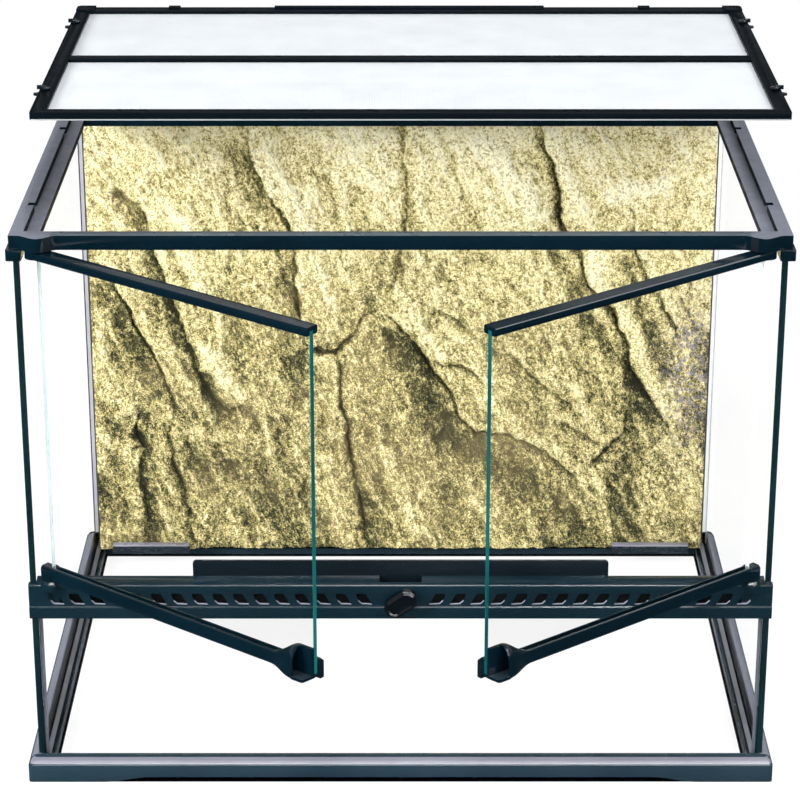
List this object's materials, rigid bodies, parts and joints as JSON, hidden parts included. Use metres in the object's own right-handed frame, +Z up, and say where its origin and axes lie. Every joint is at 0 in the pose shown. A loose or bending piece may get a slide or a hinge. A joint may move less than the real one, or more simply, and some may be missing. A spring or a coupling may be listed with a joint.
{
  "type": "reptile terrarium",
  "caption": "Front-opening glass terrarium with hinged double doors, vented front beam, lift-off mesh lid, rock-look foam background and closable cable inlets.",
  "frame": {"origin": "centre of the base footprint, on the floor", "axes": "+X to the right seen from the doors, +Y from the doors to the back, +Z up"},
  "size_m": [0.612, 0.6383, 0.5665],
  "materials": {
    "base_plastic": "satin gloss moulding",
    "frame_plastic": "gloss moulding",
    "beam_plastic": "gloss moulding",
    "lid_plastic": "satin moulding",
    "black_plastic": "gloss",
    "clip_plastic": "satin",
    "clear_glass": "clear, green edges",
    "door_glass": "clear, green edges",
    "silicone": "black silicone",
    "steel_mesh": "fine woven mesh",
    "pin_steel": "ground",
    "rock_foam": "rough foam, rock relief"
  },
  "bodies": {
    "tank": {"base_frame": "base_plastic", "floor_glass": "clear_glass", "left_side_glass": "clear_glass", "right_side_glass": "clear_glass", "back_glass": "clear_glass", "lower_front_glass": "clear_glass", "silicone_seams": "silicone", "top_frame": "frame_plastic", "rear_inlet_strip": "frame_plastic", "left_corner_clip": "frame_plastic", "right_corner_clip": "frame_plastic", "vent_beam": "beam_plastic", "vent_screens": "steel_mesh", "door_stop": "black_plastic", "background_panel": "rock_foam", "left_background_clip": "clip_plastic", "right_background_clip": "clip_plastic"},
    "left_door": {"left_door_glass": "door_glass", "left_door_top_rail": "frame_plastic", "left_door_bottom_rail": "frame_plastic", "left_door_catch": "black_plastic", "left_door_pins": "pin_steel"},
    "right_door": {"right_door_glass": "door_glass", "right_door_top_rail": "frame_plastic", "right_door_bottom_rail": "frame_plastic", "right_door_catch": "black_plastic", "right_door_pins": "pin_steel"},
    "lock": {"lock_knob": "black_plastic", "lock_cam": "black_plastic"},
    "lid": {"lid_frame": "lid_plastic", "lid_crossbar": "lid_plastic", "lid_front_mesh": "steel_mesh", "lid_rear_mesh": "steel_mesh"},
    "left_front_latch": {"left_front_latch": "black_plastic"},
    "left_rear_latch": {"left_rear_latch": "black_plastic"},
    "right_front_latch": {"right_front_latch": "black_plastic"},
    "right_rear_latch": {"right_rear_latch": "black_plastic"},
    "left_inner_gate": {"left_inner_gate": "clip_plastic"},
    "left_middle_gate": {"left_middle_gate": "clip_plastic"},
    "left_outer_gate": {"left_outer_gate": "clip_plastic"},
    "right_inner_gate": {"right_inner_gate": "clip_plastic"},
    "right_middle_gate": {"right_middle_gate": "clip_plastic"},
    "right_outer_gate": {"right_outer_gate": "clip_plastic"}
  },
  "joints": [
    {"name": "left_door_hinge", "type": "hinge", "parent": "tank", "child": "left_door", "pos_m": [-0.281, -0.2225, 0.3], "axis": [0, 0, -1], "range_deg": [-38.5, 61.5]},
    {"name": "right_door_hinge", "type": "hinge", "parent": "tank", "child": "right_door", "pos_m": [0.281, -0.2225, 0.3], "axis": [0, 0, 1], "range_deg": [-38.5, 61.5]},
    {"name": "lock_turn", "type": "hinge", "parent": "tank", "child": "lock", "pos_m": [0, -0.2235, 0.1611], "axis": [0, -1, 0], "range_deg": [0, 90]},
    {"name": "lid_lift", "type": "slide", "parent": "tank", "child": "lid", "axis": [0.0804, 0, 0.9968], "range_m": [-0.0933, 0.1]},
    {"name": "left_front_latch_turn", "type": "hinge", "parent": "lid", "child": "left_front_latch", "pos_m": [-0.2764, -0.1456, 0.56], "axis": [0, 0, -1], "range_deg": [0, 35]},
    {"name": "left_rear_latch_turn", "type": "hinge", "parent": "lid", "child": "left_rear_latch", "pos_m": [-0.2764, 0.0731, 0.56], "axis": [0, 0, 1], "range_deg": [0, 35]},
    {"name": "right_front_latch_turn", "type": "hinge", "parent": "lid", "child": "right_front_latch", "pos_m": [0.2914, -0.1456, 0.56], "axis": [0, 0, 1], "range_deg": [0, 35]},
    {"name": "right_rear_latch_turn", "type": "hinge", "parent": "lid", "child": "right_rear_latch", "pos_m": [0.2914, 0.0731, 0.56], "axis": [0, 0, -1], "range_deg": [0, 35]},
    {"name": "left_inner_gate_slide", "type": "slide", "parent": "tank", "child": "left_inner_gate", "axis": [0, 1, 0], "range_m": [0, 0.027]},
    {"name": "left_middle_gate_slide", "type": "slide", "parent": "tank", "child": "left_middle_gate", "axis": [0, 1, 0], "range_m": [0, 0.027]},
    {"name": "left_outer_gate_slide", "type": "slide", "parent": "tank", "child": "left_outer_gate", "axis": [0, 1, 0], "range_m": [0, 0.027]},
    {"name": "right_inner_gate_slide", "type": "slide", "parent": "tank", "child": "right_inner_gate", "axis": [0, 1, 0], "range_m": [0, 0.027]},
    {"name": "right_middle_gate_slide", "type": "slide", "parent": "tank", "child": "right_middle_gate", "axis": [0, 1, 0], "range_m": [0, 0.027]},
    {"name": "right_outer_gate_slide", "type": "slide", "parent": "tank", "child": "right_outer_gate", "axis": [0, 1, 0], "range_m": [0, 0.027]}
  ]
}
